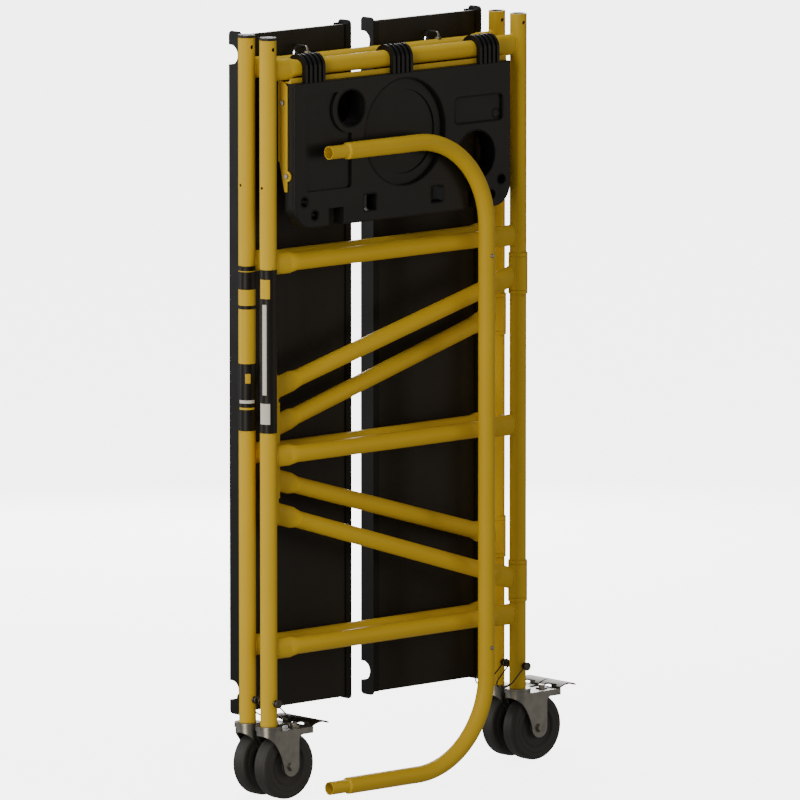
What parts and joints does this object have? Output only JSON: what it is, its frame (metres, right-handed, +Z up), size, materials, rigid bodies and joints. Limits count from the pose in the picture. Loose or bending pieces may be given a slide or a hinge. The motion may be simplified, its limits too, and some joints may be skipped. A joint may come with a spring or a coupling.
{
  "type": "baker scaffold",
  "caption": "Folded rolling baker scaffold kit: hinged ladder frames on brake casters, with hook-on decks, a tool tray and a bent guard rail stored on it.",
  "frame": {"origin": "on the floor under the middle of the folded kit's outer box", "axes": "+X along the ladder frames towards the hinged posts and the way the casters trail, +Y from the front frame to the rear frame and the decks, +Z up"},
  "size_m": [0.7814, 0.1904, 1.438],
  "materials": {
    "yellow_paint": "satin safety-yellow powder coat",
    "black_paint": "semi-matt black paint",
    "deck_board": "dark film-faced plywood",
    "black_plastic": "fine moulded texture",
    "black_rubber": "matt",
    "zinc_plate": "bright zinc plate",
    "pedal_steel": "dark coated steel"
  },
  "bodies": {
    "front_frame": {"front_left_post": "yellow_paint", "front_right_post": "yellow_paint", "front_rungs": "yellow_paint", "front_post_cap": "black_plastic", "front_post_socket": "zinc_plate", "front_stop_rings": "yellow_paint", "front_caster_stems": "zinc_plate", "front_lock_pins": "zinc_plate"},
    "rear_frame": {"rear_left_post": "yellow_paint", "rear_right_post": "yellow_paint", "rear_rungs": "yellow_paint", "rear_post_cap": "black_plastic", "rear_post_socket": "zinc_plate", "rear_stop_rings": "yellow_paint", "rear_caster_stems": "zinc_plate", "rear_lock_pins": "zinc_plate", "deck_storage_pins": "zinc_plate"},
    "front_brace": {"front_brace_sleeves": "yellow_paint", "front_brace_upper_tube": "yellow_paint", "front_brace_lower_tube": "yellow_paint", "front_brace_mid_post": "yellow_paint", "front_brace_mid_rings": "yellow_paint"},
    "rear_brace": {"rear_brace_sleeves": "yellow_paint", "rear_brace_upper_tube": "yellow_paint", "rear_brace_lower_tube": "yellow_paint", "rear_brace_mid_sleeve": "yellow_paint"},
    "front_left_caster": {"front_left_caster_fork": "zinc_plate", "front_left_caster_bolts": "zinc_plate"},
    "front_left_wheel": {"front_left_caster_wheel": "black_rubber"},
    "front_left_pedal": {"front_left_caster_pedal": "pedal_steel"},
    "front_left_bail": {"front_left_lock_bail": "zinc_plate"},
    "front_right_caster": {"front_right_caster_fork": "zinc_plate", "front_right_caster_bolts": "zinc_plate"},
    "front_right_wheel": {"front_right_caster_wheel": "black_rubber"},
    "front_right_pedal": {"front_right_caster_pedal": "pedal_steel"},
    "front_right_bail": {"front_right_lock_bail": "zinc_plate"},
    "rear_left_caster": {"rear_left_caster_fork": "zinc_plate", "rear_left_caster_bolts": "zinc_plate"},
    "rear_left_wheel": {"rear_left_caster_wheel": "black_rubber"},
    "rear_left_pedal": {"rear_left_caster_pedal": "pedal_steel"},
    "rear_left_bail": {"rear_left_lock_bail": "zinc_plate"},
    "rear_right_caster": {"rear_right_caster_fork": "zinc_plate", "rear_right_caster_bolts": "zinc_plate"},
    "rear_right_wheel": {"rear_right_caster_wheel": "black_rubber"},
    "rear_right_pedal": {"rear_right_caster_pedal": "pedal_steel"},
    "rear_right_bail": {"rear_right_lock_bail": "zinc_plate"},
    "left_deck": {"left_deck_panel": "deck_board", "left_deck_frame": "black_paint"},
    "right_deck": {"right_deck_panel": "deck_board", "right_deck_frame": "black_paint"},
    "tray": {"tool_tray": "black_plastic", "tray_crossbar": "yellow_paint", "tray_left_arm": "yellow_paint", "tray_right_arm": "yellow_paint", "tray_bolts": "zinc_plate"},
    "guard_rail": {"rail_upper_bend": "yellow_paint", "rail_middle_tube": "yellow_paint", "rail_lower_bend": "yellow_paint"},
    "upper_button": {"rail_upper_button": "zinc_plate"},
    "lower_button": {"rail_lower_button": "zinc_plate"}
  },
  "joints": [
    {"name": "front_brace_fold", "type": "hinge", "parent": "front_frame", "child": "front_brace", "pos_m": [0.26575, -0.0298, 0], "axis": [0, 0, -1], "range_deg": [0, 87.13]},
    {"name": "mid_fold", "type": "hinge", "parent": "front_brace", "child": "rear_brace", "pos_m": [-0.3335, 0.0002, 0], "axis": [0, 0, 1], "range_deg": [0, 174.28]},
    {"name": "rear_brace_fold", "type": "hinge", "parent": "rear_brace", "child": "rear_frame", "pos_m": [0.26575, 0.0302, 0], "axis": [0, 0, -1], "range_deg": [0, 87.14]},
    {"name": "front_left_swivel", "type": "hinge", "parent": "front_frame", "child": "front_left_caster", "pos_m": [-0.36425, -0.0298, 0], "axis": [0, 0, -1], "range_deg": [0, 120]},
    {"name": "front_left_roll", "type": "hinge", "parent": "front_left_caster", "child": "front_left_wheel", "pos_m": [-0.32725, -0.0298, 0.0635], "axis": [0, 1, 0], "continuous": true},
    {"name": "front_left_brake", "type": "hinge", "parent": "front_left_caster", "child": "front_left_pedal", "pos_m": [-0.28225, -0.0298, 0.1253], "axis": [0, 1, 0], "range_deg": [0, 12]},
    {"name": "front_left_bail_lift", "type": "hinge", "parent": "front_frame", "child": "front_left_bail", "pos_m": [-0.36425, -0.0298, 0.186], "axis": [0, -1, 0], "range_deg": [0, 60]},
    {"name": "front_right_swivel", "type": "hinge", "parent": "front_frame", "child": "front_right_caster", "pos_m": [0.26575, -0.0298, 0], "axis": [0, 0, -1], "range_deg": [0, 120]},
    {"name": "front_right_roll", "type": "hinge", "parent": "front_right_caster", "child": "front_right_wheel", "pos_m": [0.30275, -0.0298, 0.0635], "axis": [0, 1, 0], "continuous": true},
    {"name": "front_right_brake", "type": "hinge", "parent": "front_right_caster", "child": "front_right_pedal", "pos_m": [0.34775, -0.0298, 0.1253], "axis": [0, 1, 0], "range_deg": [0, 12]},
    {"name": "front_right_bail_lift", "type": "hinge", "parent": "front_frame", "child": "front_right_bail", "pos_m": [0.26575, -0.0298, 0.186], "axis": [0, 1, 0], "range_deg": [0, 60]},
    {"name": "rear_left_swivel", "type": "hinge", "parent": "rear_frame", "child": "rear_left_caster", "pos_m": [-0.36425, 0.0302, 0], "axis": [0, 0, 1], "range_deg": [0, 120]},
    {"name": "rear_left_roll", "type": "hinge", "parent": "rear_left_caster", "child": "rear_left_wheel", "pos_m": [-0.32725, 0.0302, 0.0635], "axis": [0, 1, 0], "continuous": true},
    {"name": "rear_left_brake", "type": "hinge", "parent": "rear_left_caster", "child": "rear_left_pedal", "pos_m": [-0.28225, 0.0302, 0.1253], "axis": [0, 1, 0], "range_deg": [0, 12]},
    {"name": "rear_left_bail_lift", "type": "hinge", "parent": "rear_frame", "child": "rear_left_bail", "pos_m": [-0.36425, 0.0302, 0.186], "axis": [0, -1, 0], "range_deg": [0, 60]},
    {"name": "rear_right_swivel", "type": "hinge", "parent": "rear_frame", "child": "rear_right_caster", "pos_m": [0.26575, 0.0302, 0], "axis": [0, 0, 1], "range_deg": [0, 120]},
    {"name": "rear_right_roll", "type": "hinge", "parent": "rear_right_caster", "child": "rear_right_wheel", "pos_m": [0.30275, 0.0302, 0.0635], "axis": [0, 1, 0], "continuous": true},
    {"name": "rear_right_brake", "type": "hinge", "parent": "rear_right_caster", "child": "rear_right_pedal", "pos_m": [0.34775, 0.0302, 0.1253], "axis": [0, 1, 0], "range_deg": [0, 12]},
    {"name": "rear_right_bail_lift", "type": "hinge", "parent": "rear_frame", "child": "rear_right_bail", "pos_m": [0.26575, 0.0302, 0.186], "axis": [0, 1, 0], "range_deg": [0, 60]},
    {"name": "left_deck_lift", "type": "slide", "parent": "rear_frame", "child": "left_deck", "axis": [0, 0, 1], "range_m": [0, 0.014]},
    {"name": "right_deck_lift", "type": "slide", "parent": "rear_frame", "child": "right_deck", "axis": [0, 0, 1], "range_m": [0, 0.014]},
    {"name": "tray_swing", "type": "hinge", "parent": "front_frame", "child": "tray", "pos_m": [0, -0.0298, 1.374], "axis": [-1, 0, 0], "range_deg": [0, 90]},
    {"name": "rail_pull", "type": "slide", "parent": "front_frame", "child": "guard_rail", "axis": [0, -1, 0], "range_m": [0, 0.488]},
    {"name": "upper_button_press", "type": "slide", "parent": "guard_rail", "child": "upper_button", "axis": [0, 1, 0], "range_m": [0, 0.0035], "stiffness_N_per_m": 500},
    {"name": "lower_button_press", "type": "slide", "parent": "guard_rail", "child": "lower_button", "axis": [0, 1, 0], "range_m": [0, 0.0035], "stiffness_N_per_m": 500}
  ],
  "couplings": [
    {"joint": "mid_fold", "follows": "front_brace_fold", "ratio": 2},
    {"joint": "rear_brace_fold", "follows": "front_brace_fold", "ratio": 1},
    {"joint": "rail_pull", "follows": "tray_swing", "m_per_rad": 0.31}
  ]
}
